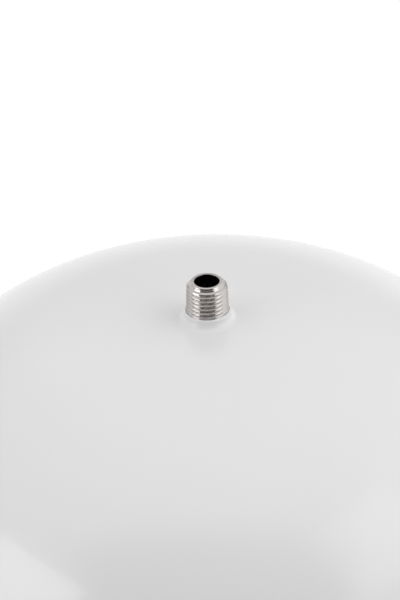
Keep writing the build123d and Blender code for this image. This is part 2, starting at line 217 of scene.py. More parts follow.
class ValveSizes(bpy.types.PropertyGroup):
    """Sizes of the air valve and its cap"""

    pitch: length("Pitch", "Distance from thread to thread", 0.0254 / 32)
    depth: length("Depth", "Depth of the thread", 0.0004)
    radius: length("Radius", "Outside radius of the stem", 0.00385)
    head: length("Head", "Radius of the head inside the tank", STEM_HIGH.y)
    head_thickness: length("Head thickness", "Thickness of that head", 0.0025)
    bore: length("Bore", "Radius of the air way", 0.0019)
    chamber: length("Chamber", "Radius of the core's chamber", 0.00265)
    chamber_depth: length("Chamber depth", "Depth of the core's chamber", 0.010)
    cone: length("Cone", "Length of the core's tapered seat", 0.0022)
    cap_radius: length("Cap radius", "Radius of the cap under its ribs", 0.0054)
    cap_bore: length("Cap bore", "Radius inside the cap", 0.00395)
    cap_end: length("Cap end", "Thickness of the cap's closed end", 0.0013)
    cap_fillet: length("Cap fillet", "Rounding of the cap's outer edge", 0.0008)
    cap_dish: length("Cap dish", "Depth of the dished middle of the cap's end", 0.0003)
    chamfer: length("Chamfer", "Chamfer of the stem's tip", 0.0005)
    edge: length("Edge", "Rounding of edges", 0.00012)
    spring_wire: length("Spring wire", "Radius of the core spring's wire", 0.00014)
    spring_coil: length("Spring coil", "Radius of the core spring's coil", 0.00084)
    spring_turns: number("Spring turns", "Turns of the core spring", 6.0)
    rib_radius: length("Rib radius", "Radius of a grip rib", 0.00045)
    rib_length: length("Rib length", "Length of a grip rib", 0.0085)
    rib_count: amount("Ribs", "Grip ribs of the cap", 20)


class StandSizes(bpy.types.PropertyGroup):
    """Sizes of the moulded ring stand"""

    foot: length("Foot", "Outside radius of the foot", STAND_HIGH.x)
    foot_width: length("Foot width", "Width of the foot", 0.006)
    foot_thickness: length("Foot thickness", "Thickness of the foot", 0.003)
    base: length("Skirt base", "Outside radius of the skirt at the foot", 0.1029)
    top: length("Skirt top", "Outside radius of the skirt at its lip", 0.0998)
    wall: length("Wall", "Thickness of the moulding", 0.0025)
    seat_gap: length("Seat gap", "Gap between the seat and the tank", 0.00005)
    seat_end: angle("Seat end", "Angle where the seat ends", 54)
    lip: length("Lip", "Rounding of the skirt's upper edge", 0.0009)
    edge: length("Edge", "Rounding of the moulding's other edges", 0.0006)
    rib_thickness: length("Rib thickness", "Thickness of a gusset", 0.002)
    rib_foot: length("Rib foot", "Height where a gusset meets the skirt", 0.006)
    rib_inset: angle("Rib inset", "How far a gusset stops short of the seat's end", 1)
    rib_count: amount("Gussets", "Gussets in the stand", 12)


class FinishColours(bpy.types.PropertyGroup):
    """Colours of the finishes"""

    paint: colour("Paint", "White gloss paint of the tank", (0.75, 0.75, 0.75))
    steel: colour("Stainless steel", "Turned stainless steel of the nipple", (0.545, 0.524, 0.519))
    zinc: colour("Zinc", "Zinc plated steel", (0.60, 0.61, 0.62))
    nickel: colour("Nickel", "Nickel plated brass", (0.72, 0.69, 0.63))
    brass: colour("Brass", "Turned brass", (0.78, 0.58, 0.27))
    stand: colour("Stand", "Black moulded plastic", (0.018, 0.018, 0.019))
    cap: colour("Cap", "Blue moulded plastic", (0.02, 0.11, 0.42))
    rubber: colour("Rubber", "Black rubber", (0.02, 0.02, 0.02))
    liner: colour("Liner", "Natural polypropylene", (0.80, 0.81, 0.78))


class StageSizes(bpy.types.PropertyGroup):
    """Camera, floor and lights"""

    elevation: angle("Elevation", "Camera's angle above level", 31.75)
    roll: angle("Roll", "Camera's turn about its own line of sight", 1.7)
    distance: length("Distance", "From the camera to the nipple's base", 1.0)
    frame_height: length("Frame height", "Height of the picture at that distance", 0.1893)
    frame_pixels: number("Frame pixels", "Height of the picture in pixels", 600.0)
    nipple_right: number("Nipple right", "Pixels by which the nipple is right of the middle", 7.5)
    nipple_down: number("Nipple down", "Pixels by which its base is below the middle", 8.7)
    floor_radius: length("Floor radius", "Radius of the floor", 14.0)
    floor: colour("Floor", "Colour of the floor", (0.62, 0.62, 0.62))
    floor_glow: number("Floor glow", "Light that the pale floor adds", 0.5, min=0)


SETTINGS = {
    "tank_shell": ShellSizes,
    "tank_nipple": NippleSizes,
    "tank_valve": ValveSizes,
    "tank_stand": StandSizes,
    "tank_finish": FinishColours,
    "tank_stage": StageSizes,
}


def arc(centre, radius, start, end, steps):
    """Points on an arc in the outline's plane, from angle start to angle end."""
    return [
        (
            centre[0] + radius * math.cos(start + (end - start) * step / steps),
            centre[1] + radius * math.sin(start + (end - start) * step / steps),
        )
        for step in range(steps + 1)
    ]


def rows(start, end, spacing):
    """Evenly spaced points from start to end, both included."""
    span = math.dist(start, end)
    count = max(1, round(span / spacing))
    return [
        (start[0] + (end[0] - start[0]) * k / count, start[1] + (end[1] - start[1]) * k / count)
        for k in range(count + 1)
    ]


def rounded(outline, radius, steps=3):
    """The closed outline with its sharp corners turned into small curves."""
    result = []
    for k, point in enumerate(outline):
        corner = Vector(point)
        back = Vector(outline[k - 1]) - corner
        ahead = Vector(outline[(k + 1) % len(outline)]) - corner
        turn = math.pi - back.angle(ahead)
        if turn < CORNER_ANGLE or corner.x < radius:
            result.append(point)
            continue
        limit = 0.45 * min(back.length, ahead.length)
        reach = min(radius * math.tan(turn / 2), limit)
        start = corner + back.normalized() * reach
        end = corner + ahead.normalized() * reach
        for step in range(steps + 1):
            part = step / steps
            result.append(tuple(start.lerp(corner, part).lerp(corner.lerp(end, part), part)))
    return result


def lathe(name, outline, segments, place=AROUND_Z):
    """A closed outline of (radius, height) points turned about its axis into a closed mesh."""
    ring = [p for k, p in enumerate(outline) if math.dist(p, outline[k - 1]) > 1e-7]
    mesh = bpy.data.meshes.new(name)
    points = []
    for step in range(segments):
        angle = FULL_TURN * step / segments
        points += [(r * math.cos(angle), r * math.sin(angle), h) for r, h in ring]
    count = len(ring)
    faces = []
    for step in range(segments):
        near = step * count
        far = (step + 1) % segments * count
        for k in range(count):
            after = (k + 1) % count
            faces.append((near + k, far + k, far + after, near + after))
    mesh.from_pydata(points, [], faces)
    build = bmesh.new()
    build.from_mesh(mesh)
    bmesh.ops.remove_doubles(build, verts=build.verts, dist=1e-7)
    bmesh.ops.dissolve_degenerate(build, edges=build.edges, dist=1e-8)
    bmesh.ops.recalc_face_normals(build, faces=build.faces)
    bmesh.ops.transform(build, matrix=place, verts=build.verts)
    build.to_mesh(mesh)
    build.free()
    piece = bpy.data.objects.new(name, mesh)
    bpy.context.scene.collection.objects.link(piece)
    smooth(piece)
    return piece


def smooth(piece):
    """Shades the piece smooth, with its sharper edges kept."""
    piece.data.shade_smooth()
    piece.data.set_sharp_from_angle(angle=SMOOTH_ANGLE)


def baked(piece, name, place=AROUND_Z):
    """The piece with its modifiers worked into a plain mesh, laid in place, as a new object."""
    graph = bpy.context.evaluated_depsgraph_get()
    mesh = bpy.data.meshes.new_from_object(piece.evaluated_get(graph))
    mesh.transform(place)
    result = bpy.data.objects.new(name, mesh)
    mesh.name = name
    bpy.context.scene.collection.objects.link(result)
    bpy.data.objects.remove(piece)
    smooth(result)
    return result


def finish_piece(piece, body, material, nodes):
    """Gives a piece its material, its body and the solids that it stands for."""
    piece.data.materials.clear()
    piece.data.materials.append(material)
    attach(piece, body)
    if nodes:
        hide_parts(*nodes)


def dress(nodes):
    """Gives packed solids that stay their finishes, by name."""
    for node, name in nodes.items():
        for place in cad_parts[node].material_slots:
            place.material = finish(name)


class NodeLine:
    """Adds nodes to a tree and links them as they come."""

    def __init__(self, tree):
        self.tree = tree

    def add(self, kind, inputs=None, **settings):
        node = self.tree.nodes.new(kind)
        for key, value in settings.items():
            setattr(node, key, value)
        for key, value in (inputs or {}).items():
            if isinstance(value, bpy.types.NodeSocket):
                self.tree.links.new(value, node.inputs[key])
            else:
                node.inputs[key].default_value = value
        return node

    def maths(self, operation, first, second=0.0, third=0.0):
        values = {0: first, 1: second}
        if operation == "MULTIPLY_ADD":
            values[2] = third
        return self.add("ShaderNodeMath", values, operation=operation).outputs[0]

    def product(self, *factors):
        whole = factors[0]
        for factor in factors[1:]:
            whole = self.maths("MULTIPLY", whole, factor)
        return whole

    def ramp(self, value, start, end, low=0.0, high=1.0, smooth=False):
        """Runs from low to high while the value goes from start to end."""
        inputs = {"Value": value, "From Min": start, "From Max": end, "To Min": low,
                  "To Max": high}
        kind = "SMOOTHSTEP" if smooth else "LINEAR"
        return self.add("ShaderNodeMapRange", inputs, interpolation_type=kind).outputs[0]


def new_finish(name, base, metallic=0.0, roughness=0.5, **sockets):
    """A principled material whose plain numbers sit on the shader's own sockets."""
    made = bpy.data.materials.new(name)
    made.use_nodes = True
    shader = made.node_tree.nodes["Principled BSDF"]
    shader.inputs["Base Color"].default_value = (*base, 1)
    shader.inputs["Metallic"].default_value = metallic
    shader.inputs["Roughness"].default_value = roughness
    for socket, value in sockets.items():
        shader.inputs[socket.replace("_", " ")].default_value = value
    return made, NodeLine(made.node_tree), shader


def object_noise(line, scale, detail=3.0, stretch=(1, 1, 1), roughness=0.5):
    """Noise on object coordinates, scale in features a metre."""
    place = line.add("ShaderNodeTexCoord").outputs["Object"]
    squeezed = line.add("ShaderNodeMapping", {"Vector": place, "Scale": stretch})
    inputs = {"Vector": squeezed.outputs[0], "Scale": scale, "Detail": detail}
    return line.add("ShaderNodeTexNoise", {**inputs, "Roughness": roughness}).outputs["Fac"]


def spread(line, value, low, high):
    """Maps the middle of a noise onto the span from low to high."""
    return line.ramp(value, 0.3, 0.7, low, high)


def shaded(line, value, dark, light):
    """A colour that runs from dark to light with the value."""
    inputs = {0: value, 6: (*dark, 1), 7: (*light, 1)}
    return line.add("ShaderNodeMix", inputs, data_type="RGBA").outputs[2]


def scaled(base, factor):
    return tuple(min(1.0, part * factor) for part in base)


def bump(line, shader, heights, distance, strength=1.0):
    inputs = {"Height": heights, "Distance": distance, "Strength": strength}
    line.tree.links.new(line.add("ShaderNodeBump", inputs).outputs[0], shader.inputs["Normal"])


def enamel():
    """White gloss paint: faint orange peel, slow waves of the pressed sheet, uneven gloss."""
    base = bpy.context.scene.tank_finish.paint
    made, line, shader = new_finish(
        "white_gloss_paint", base, roughness=0.22, Coat_Weight=0.3, Coat_Roughness=0.07
    )
    peel = object_noise(line, 260.0, detail=2.0)
    waves = object_noise(line, 9.0, detail=1.0)
    cloud = object_noise(line, 22.0, detail=4.0)
    tone = shaded(line, cloud, scaled(base, 0.985), scaled(base, 1.01))
    line.tree.links.new(tone, shader.inputs["Base Color"])
    line.tree.links.new(spread(line, cloud, 0.20, 0.26), shader.inputs["Roughness"])
    height = line.maths("MULTIPLY_ADD", waves, 6.0, peel)
    bump(line, shader, height, 0.00002)
    return made


def stainless():
    """Turned stainless steel: lines round the axis, uneven shine, and painted shade in the water
    way.
    """
    base = bpy.context.scene.tank_finish.steel
    made, line, shader = new_finish("turned_stainless", base, metallic=1.0, roughness=0.2)
    turned = object_noise(line, 300.0, detail=4.0, stretch=(1, 1, 30))
    patches = object_noise(line, 420.0, detail=3.0)
    tint = shaded(line, patches, scaled(base, 0.86), (base[0] * 1.06, base[1] * 1.04, base[2]))
    place = line.add("ShaderNodeTexCoord").outputs["Object"]
    split = line.add("ShaderNodeSeparateXYZ", {0: place}).outputs
    flat = line.add("ShaderNodeCombineXYZ", {0: split[0], 1: split[1]}).outputs[0]
    reach = line.add("ShaderNodeVectorMath", {0: flat}, operation="LENGTH").outputs[1]
    # Painted shade: inside the water way the base colour falls to 0.4, standing in for the bore's
    # darkness
    bore = bpy.context.scene.tank_nipple.bore
    outside = line.ramp(reach, bore * 1.01, bore * 1.05)
    painted_bore_shade = {0: outside, 6: (*scaled(base, 0.4), 1), 7: tint}
    tint = line.add("ShaderNodeMix", painted_bore_shade, data_type="RGBA").outputs[2]
    line.tree.links.new(tint, shader.inputs["Base Color"])
    line.tree.links.new(spread(line, turned, 0.07, 0.17), shader.inputs["Roughness"])
    bump(line, shader, turned, 0.000012)
    return made


def plated(name, base, low, high):
    """Plated or bare turned metal with an uneven shine."""
    made, line, shader = new_finish(name, base, metallic=1.0, roughness=low)
    marks = object_noise(line, 900.0, detail=4.0)
    tone = shaded(line, marks, scaled(base, 0.88), scaled(base, 1.05))
    line.tree.links.new(tone, shader.inputs["Base Color"])
    line.tree.links.new(spread(line, marks, low, high), shader.inputs["Roughness"])
    bump(line, shader, marks, 0.00001)
    return made


def moulded(name, base, low, high, grain, distance):
    """Moulded plastic or rubber with a fine grain."""
    made, line, shader = new_finish(name, base, roughness=low)
    texture = object_noise(line, grain, detail=3.0)
    clouds = object_noise(line, grain / 40, detail=2.0)
    tone = shaded(line, clouds, scaled(base, 0.9), scaled(base, 1.12))
    line.tree.links.new(tone, shader.inputs["Base Color"])
    line.tree.links.new(spread(line, clouds, low, high), shader.inputs["Roughness"])
    bump(line, shader, texture, distance)
    return made


def finish(name):
    """The named finish, made once."""
    colours = bpy.context.scene.tank_finish
    makers = {
        "white_gloss_paint": enamel,
        "turned_stainless": stainless,
        "zinc_plate": lambda: plated("zinc_plate", colours.zinc, 0.28, 0.42),
        "nickel_plate": lambda: plated("nickel_plate", colours.nickel, 0.16, 0.30),
        "turned_brass": lambda: plated("turned_brass", colours.brass, 0.20, 0.34),
        "stand_plastic": lambda: moulded("stand_plastic", colours.stand, 0.42, 0.5, 2200, 4e-5),
        "cap_plastic": lambda: moulded("cap_plastic", colours.cap, 0.26, 0.34, 1500, 1e-5),
        "black_rubber": lambda: moulded("black_rubber", colours.rubber, 0.6, 0.72, 1800, 4e-5),
        "liner_plastic": lambda: moulded("liner_plastic", colours.liner, 0.34, 0.44, 700, 2e-5),
    }
    return bpy.data.materials.get(name) or makers[name]()


def new_tree(name, numbers, kinds=()):
    """An empty tree with its named inputs; returns its line and the given values."""
    tree = bpy.data.node_groups.new(name, "GeometryNodeTree")
    face = tree.interface
    face.new_socket("Geometry", in_out="INPUT", socket_type="NodeSocketGeometry")
    for number in numbers:
        face.new_socket(number, in_out="INPUT", socket_type="NodeSocketFloat")
    for key, kind in kinds:
        face.new_socket(key, in_out="INPUT", socket_type=kind)
    face.new_socket("Geometry", in_out="OUTPUT", socket_type="NodeSocketGeometry")
    line = NodeLine(tree)
    return line, line.add("NodeGroupInput").outputs


def polar(line):
    """The points' coordinates, radius and turn round Z."""
    place = line.add("GeometryNodeInputPosition").outputs[0]
    split = line.add("ShaderNodeSeparateXYZ", {0: place}).outputs
    squares = [line.maths("MULTIPLY", split[axis], split[axis]) for axis in (0, 1)]
    radius = line.maths("SQRT", line.maths("ADD", *squares))
    turn = line.maths("DIVIDE", line.maths("ARCTAN2", split[1], split[0]), FULL_TURN)
    return split, radius, turn


def at_radius(line, geometry, split, radius, wanted, chosen):
    """Moves the chosen points straight out or in to the wanted radius."""
    factor = line.maths("DIVIDE", wanted, radius)
    moved = {axis: line.maths("MULTIPLY", split[axis], factor) for axis in (0, 1)}
    moved[2] = split[2]
    place = line.add("ShaderNodeCombineXYZ", moved).outputs[0]
    inputs = {"Geometry": geometry, "Selection": chosen, "Position": place}
    return line.add("GeometryNodeSetPosition", inputs).outputs[0]


def end_tree(line, geometry, material):
    """Realizes the instances, sets the material and closes the tree."""
    whole = line.add("GeometryNodeRealizeInstances", {0: geometry}).outputs[0]
    painted = line.add("GeometryNodeSetMaterial", {0: whole, "Material": material}).outputs[0]
    line.add("NodeGroupOutput", {0: painted})
    return line.tree


def thread_tree(material):
    """Cuts a helical thread into the outer wall of a turned blank that stands along Z."""
    numbers = ("Pitch", "Depth", "Taper", "Foot", "Top", "Crest", "Start", "Runout", "Inner")
    line, given = new_tree("cut_thread", numbers)
    split, radius, turn = polar(line)
    climb = line.maths("SUBTRACT", split[2], given["Foot"])
    phase = line.maths("DIVIDE", climb, given["Pitch"])
    phase = line.maths("ADD", line.maths("SUBTRACT", phase, turn), given["Start"])
    wave = line.maths("PINGPONG", phase, 0.5)
    hollow = line.ramp(wave, 0.0, 0.5, smooth=True)
    fade = line.ramp(climb, 0.0, given["Runout"])
    cut = line.product(hollow, given["Depth"], fade)
    cone = line.maths("SUBTRACT", given["Crest"], line.maths("MULTIPLY", climb, given["Taper"]))
    wanted = line.maths("MINIMUM", radius, line.maths("SUBTRACT", cone, cut))
    above = line.maths("GREATER_THAN", split[2], given["Foot"])
    below = line.maths("LESS_THAN", split[2], given["Top"])
    outside = line.maths("GREATER_THAN", radius, given["Inner"])
    chosen = line.product(above, below, outside)
    shaped = at_radius(line, given["Geometry"], split, radius, wanted, chosen)
    return end_tree(line, shaped, material)


def ridge_tree(material):
    """Raises round ridges along Z on the outer wall of a turned blank, evenly about its axis."""
    numbers = ("Count", "Rise", "Width", "Bow", "Low", "High", "Soft", "Base")
    line, given = new_tree("raise_ridges", numbers)
    split, radius, turn = polar(line)
    middle = line.maths("MULTIPLY", line.maths("ADD", given["Low"], given["High"]), 0.5)
    half = line.maths("MULTIPLY", line.maths("SUBTRACT", given["High"], given["Low"]), 0.5)
    aside = line.maths("DIVIDE", line.maths("SUBTRACT", split[2], middle), half)
    bowed = line.product(aside, aside, given["Bow"])
    phase = line.maths("ADD", line.maths("MULTIPLY", turn, given["Count"]), bowed)
    away = line.maths("DIVIDE", line.maths("PINGPONG", phase, 0.5), given["Width"])
    crest = line.maths("SUBTRACT", 1.0, line.maths("MULTIPLY", away, away))
    crest = line.maths("SQRT", line.maths("MAXIMUM", crest, 0.0))
    off_middle = line.maths("ABSOLUTE", line.maths("SUBTRACT", split[2], middle))
    inward = line.maths("SUBTRACT", half, off_middle)
    ends = line.ramp(inward, 0.0, given["Soft"], smooth=True)
    rise = line.product(crest, ends, given["Rise"])
    wanted = line.maths("ADD", radius, rise)
    chosen = line.maths("GREATER_THAN", radius, given["Base"])
    shaped = at_radius(line, given["Geometry"], split, radius, wanted, chosen)
    return end_tree(line, shaped, material)


def gusset_tree(material):
    """Sets copies of a plate evenly about Z and joins them to the given body."""
    kinds = (("Count", "NodeSocketInt"), ("Plate", "NodeSocketObject"))
    line, given = new_tree("set_gussets", (), kinds)
    points = line.add("GeometryNodePoints", {"Count": given["Count"]}).outputs[0]
    index = line.add("GeometryNodeInputIndex").outputs[0]
    share = line.maths("DIVIDE", line.maths("MULTIPLY", index, FULL_TURN), given["Count"])
    turned = line.add("ShaderNodeCombineXYZ", {2: share}).outputs[0]
    plate = line.add("GeometryNodeObjectInfo", {"Object": given["Plate"]}).outputs["Geometry"]
    inputs = {"Points": points, "Instance": plate, "Rotation": turned}
    plates = line.add("GeometryNodeInstanceOnPoints", inputs).outputs[0]
    loose = line.add("GeometryNodeRealizeInstances", {0: plates}).outputs[0]
    union = line.add("GeometryNodeMeshBoolean", operation="UNION", solver="EXACT")
    line.tree.links.new(given["Geometry"], union.inputs["Mesh 2"])
    line.tree.links.new(loose, union.inputs["Mesh 2"])
    return end_tree(line, union.outputs[0], material)


def spring_tree(material):
    """Winds a round wire into a coil that stands on the origin, along Z."""
    line, given = new_tree("wind_spring", ("Turns", "Radius", "Length", "Wire"))
    radius = given["Radius"]
    inputs = {"Resolution": COIL_STEPS, "Rotations": given["Turns"], "Start Radius": radius,
              "End Radius": radius, "Height": given["Length"]}
    path = line.add("GeometryNodeCurveSpiral", inputs).outputs[0]
    section = {"Resolution": WIRE_STEPS, "Radius": given["Wire"]}
    circle = line.add("GeometryNodeCurvePrimitiveCircle", section).outputs[0]
    swept = {"Curve": path, "Profile Curve": circle, "Fill Caps": True}
    return end_tree(line, line.add("GeometryNodeCurveToMesh", swept).outputs[0], material)


def run_tree(piece, tree, values):
    """Gives a piece the tree as a modifier, with its inputs set by name."""
    modifier = piece.modifiers.new(tree.name, "NODES")
    modifier.node_group = tree
    for socket in tree.interface.items_tree:
        if socket.in_out == "INPUT" and socket.name in values:
            modifier[socket.identifier] = values[socket.name]
    piece.update_tag()


def end_curve(sizes, shoulder, inset, start_radius, up, steps):
    """Crown and knuckle of a pressed end, from start_radius out to the shoulder."""
    reach = sizes.radius - sizes.knuckle
    drop = math.sqrt((sizes.crown - sizes.knuckle) ** 2 - reach**2)
    tangent = math.atan2(drop, reach)
    crown = sizes.crown - inset
    start = math.acos(start_radius / crown)
    middle = (0.0, shoulder - up * drop)
    bend = (reach, shoulder)
    points = arc(middle, crown, up * start, up * tangent, steps)
    return points + arc(bend, sizes.knuckle - inset, up * tangent, 0.0, steps)[1:]


def end_depth(sizes):
    """Height of a pressed end over the straight wall."""
    reach = sizes.radius - sizes.knuckle
    return sizes.crown - math.sqrt((sizes.crown - sizes.knuckle) ** 2 - reach**2)


class TANK_OT_upper_shell(bpy.types.Operator):
    """Turns the upper half of the tank with its drawn neck, and paints it"""

    bl_idname = "tank.upper_shell"
    bl_label = "Upper Half"

    def execute(self, context):
        sizes = context.scene.tank_shell
        neck_top = UPPER_HIGH.z
        apex = neck_top - sizes.neck_height
        shoulder = apex - end_depth(sizes)
        girth = UPPER_LOW.z
        land = apex - sizes.wall - sizes.land_drop
        lip = (sizes.neck_top - sizes.neck_lip, neck_top - sizes.neck_lip)
        spread = (sizes.neck_base - sizes.neck_top) * sizes.neck_root / sizes.neck_height
        root = sizes.neck_base - spread + sizes.neck_root
        outer = end_curve(sizes, shoulder, 0, root, 1, OUTER_STEPS)
        inner = end_curve(sizes, shoulder, sizes.wall, sizes.land, 1, INNER_STEPS)
        flare = (root, outer[0][1] + sizes.neck_root)
        outline = [(sizes.neck_bore, land), (sizes.neck_bore, neck_top)]
        outline += arc(lip, sizes.neck_lip, math.pi / 2, LIP_END, EDGE_STEPS)
        outline += arc(flare, sizes.neck_root, math.pi, math.pi * 1.5, FLARE_STEPS) + outer[1:]
        outline += rows((sizes.radius, shoulder), (sizes.radius, girth), WALL_ROW)[1:]
        outline += rows((sizes.radius - sizes.wall, girth), inner[-1], INSIDE_ROW)
        outline += inner[::-1][1:] + [(sizes.land, land)]
        piece = lathe("upper_half", outline, SHELL_FACES)
        finish_piece(piece, "tank", finish("white_gloss_paint"), ["upper_shell"])
        return {"FINISHED"}


class TANK_OT_lower_shell(bpy.types.Operator):
    """Turns the lower half of the tank with its joggled rim, sets the valve's pad in it, and
    paints it
    """

    bl_idname = "tank.lower_shell"
    bl_label = "Lower Half"

    def execute(self, context):
        sizes = context.scene.tank_shell
        girth = UPPER_LOW.z
        shoulder = LOWER_LOW.z + end_depth(sizes)
        outer = end_curve(sizes, shoulder, 0, 0, -1, INNER_STEPS)
        inner = end_curve(sizes, shoulder, sizes.wall, 0, -1, INNER_STEPS)
        inside = sizes.radius - sizes.wall
        rim = inside - sizes.slip
        step = (inside, girth - sizes.joggle)
        outline = outer + rows((sizes.radius, shoulder), (sizes.radius, girth), WALL_ROW)[1:]
        outline += [(rim, girth), (rim, LOWER_HIGH.z)]
        outline += [(rim - sizes.wall, LOWER_HIGH.z), (rim - sizes.wall, girth)]
        outline += rows(step, inner[-1], INSIDE_ROW) + inner[::-1][1:]
        blank = lathe("lower_blank", outline, SHELL_FACES)
        corner = (sizes.pad - sizes.pad_edge, sizes.pad_outer - sizes.pad_edge)
        face = [(0, sizes.pad_inner), (sizes.pad, sizes.pad_inner)]
        face += arc(corner, sizes.pad_edge, 0, math.pi / 2, EDGE_STEPS // 2)
        pad = lathe("pad_blank", face + [(0, sizes.pad_outer)], PAD_FACES, AROUND_X)
        back, tip = STEM_LOW.x, STEM_HIGH.x
        drill = [(0, back), (sizes.pad_hole, back), (sizes.pad_hole, tip), (0, tip)]
        hole = lathe("hole_blank", drill, PAD_FACES, AROUND_X)
        for tool, work in ((pad, "UNION"), (hole, "DIFFERENCE")):
            cut = blank.modifiers.new(tool.name, "BOOLEAN")
            cut.object = tool
            cut.operation = work
            cut.solver = "EXACT"
        piece = baked(blank, "lower_half")
        for tool in (pad, hole):
            bpy.data.objects.remove(tool)
        finish_piece(piece, "tank", finish("white_gloss_paint"), ["lower_shell"])
        return {"FINISHED"}


class TANK_OT_girth_weld(bpy.types.Operator):
    """Lays the rippled girth weld round the joint of the two halves, and paints it"""

    bl_idname = "tank.girth_weld"
    bl_label = "Girth Weld"

    def execute(self, context):
        sizes = context.scene.tank_shell
        girth = UPPER_LOW.z
        foot = girth - sizes.weld_width
        half = sizes.weld_width / 2
        rise = sizes.weld_rise - sizes.weld_ripple
        bead_radius = (half**2 + rise**2) / (2 * rise)
        angle = math.asin(half / bead_radius)
        centre = (sizes.radius + rise - bead_radius, girth - half)
        outline = arc(centre, bead_radius, -angle, angle, BEAD_STEPS)
        sunk = sizes.radius - sizes.weld_sink
        outline += [(sunk, girth), (sunk, foot)]
        blank = lathe("weld_blank", outline, RIPPLE_FACES * sizes.ripple_count)
        paint = finish("white_gloss_paint")
        run_tree(
            blank,
            ridge_tree(paint),
            {
                "Count": sizes.ripple_count, "Rise": sizes.weld_ripple, "Width": TOUCHING,
                "Bow": sizes.ripple_bow, "Low": foot, "High": girth, "Soft": sizes.weld_edge,
                "Base": sizes.radius,
            },
        )
        finish_piece(baked(blank, "girth_weld"), "tank", paint, [])
        return {"FINISHED"}


class TANK_OT_nipple(bpy.types.Operator):
    """Turns the stainless steel nipple and cuts its taper thread"""

    bl_idname = "tank.nipple"
    bl_label = "Water Nipple"

    def execute(self, context):
        sizes = context.scene.tank_nipple
        top = NIPPLE_HIGH.z
        foot = UPPER_HIGH.z
        land = NIPPLE_LOW.z + sizes.flange_thickness
        shoulder = top - sizes.pilot_height
        shoulder_radius = sizes.crest - (shoulder - foot) * sizes.taper
        edge = sizes.edge
        socket_top = NIPPLE_LOW.z + sizes.socket_depth
        groove_inner = sizes.groove - sizes.groove_width / 2
        groove_outer = sizes.groove + sizes.groove_width / 2
        groove_top = NIPPLE_LOW.z + sizes.groove_depth
        outline = [(sizes.bore, socket_top), (sizes.bore, top - sizes.mouth)]
        outline += [(sizes.bore + sizes.mouth, top), (sizes.pilot, top - sizes.face_fall)]
        outline += [(sizes.collar, top - sizes.collar_step)]
        outline += [(sizes.collar_rest, top - sizes.collar_step)]
        collar_end = (sizes.collar_foot, top - sizes.collar_height)
        ledge_end = (sizes.ledge, top - sizes.collar_height - sizes.ledge_fall)
        outline += rows(collar_end, ledge_end, THREAD_ROW)
        outline += rows(ledge_end, (shoulder_radius, shoulder), THREAD_ROW)[1:]
        outline += rows((shoulder_radius, shoulder), (sizes.crest, foot), THREAD_ROW)[1:]
        outline += [(sizes.shank, foot - edge), (sizes.shank, land), (sizes.flange, land)]
        outline += [(sizes.flange, NIPPLE_LOW.z), (groove_outer, NIPPLE_LOW.z)]
        outline += [(groove_outer, groove_top), (groove_inner, groove_top)]
        outline += [(groove_inner, NIPPLE_LOW.z), (sizes.socket, NIPPLE_LOW.z)]
        outline += [(sizes.socket, socket_top)]
        blank = lathe("nipple_blank", rounded(outline, edge), NIPPLE_FACES)
        steel = finish("turned_stainless")
        run_tree(
            blank,
            thread_tree(steel),
            {
                "Pitch": sizes.pitch, "Depth": sizes.depth, "Taper": sizes.taper, "Foot": foot,
                "Top": top - sizes.collar_height, "Crest": sizes.crest, "Start": sizes.start,
                "Runout": sizes.runout, "Inner": sizes.bore + 2 * sizes.mouth,
            },
        )
        piece = baked(blank, "threaded_nipple")
        finish_piece(piece, "tank", steel, ["port_nipple"])
        return {"FINISHED"}


class TANK_OT_inner_parts(bpy.types.Operator):
    """Gives the liner, diaphragm, clench ring and seals inside the tank their finishes"""

    bl_idname = "tank.inner_parts"
    bl_label = "Inner Parts"

    def execute(self, context):
        dress({
            "liner": "liner_plastic",
            "diaphragm": "black_rubber",
            "clench_ring": "zinc_plate",
            "port_o_ring": "black_rubber",
            "valve_grommet": "black_rubber",
            "cap_seal": "black_rubber",
        })
        return {"FINISHED"}


class TANK_OT_valve_stem(bpy.types.Operator):
    """Turns the air valve's plated stem and cuts its thread"""

    bl_idname = "tank.valve_stem"
    bl_label = "Valve Stem"

    def execute(self, context):
        sizes = context.scene.tank_valve
        pad = context.scene.tank_shell.pad_outer
        back, tip = STEM_LOW.x, STEM_HIGH.x
        face = back + sizes.head_thickness
        floor = tip - sizes.chamber_depth
        outline = [(sizes.bore, back), (sizes.head, back), (sizes.head, face)]
        outline += [(sizes.radius, face)]
        shoulder = (sizes.radius, tip - sizes.chamfer)
        outline += rows((sizes.radius, pad), shoulder, THREAD_ROW)
        outline += rows(shoulder, (sizes.radius - sizes.chamfer, tip), THREAD_ROW)[1:]
        outline += [(sizes.chamber, tip), (sizes.chamber, floor)]
        outline += [(sizes.bore, floor - sizes.cone)]
        blank = lathe("stem_blank", rounded(outline, sizes.edge), STEM_FACES)
        plate = finish("nickel_plate")
        run_tree(
            blank,
            thread_tree(plate),
            {
                "Pitch": sizes.pitch, "Depth": sizes.depth, "Taper": 0.0, "Foot": pad,
                "Top": tip, "Crest": sizes.radius, "Start": 0.0, "Runout": sizes.pitch,
                "Inner": sizes.chamber + sizes.edge,
            },
        )
        piece = baked(blank, "threaded_stem", AROUND_X)
        finish_piece(piece, "tank", plate, ["valve_stem"])
        return {"FINISHED"}


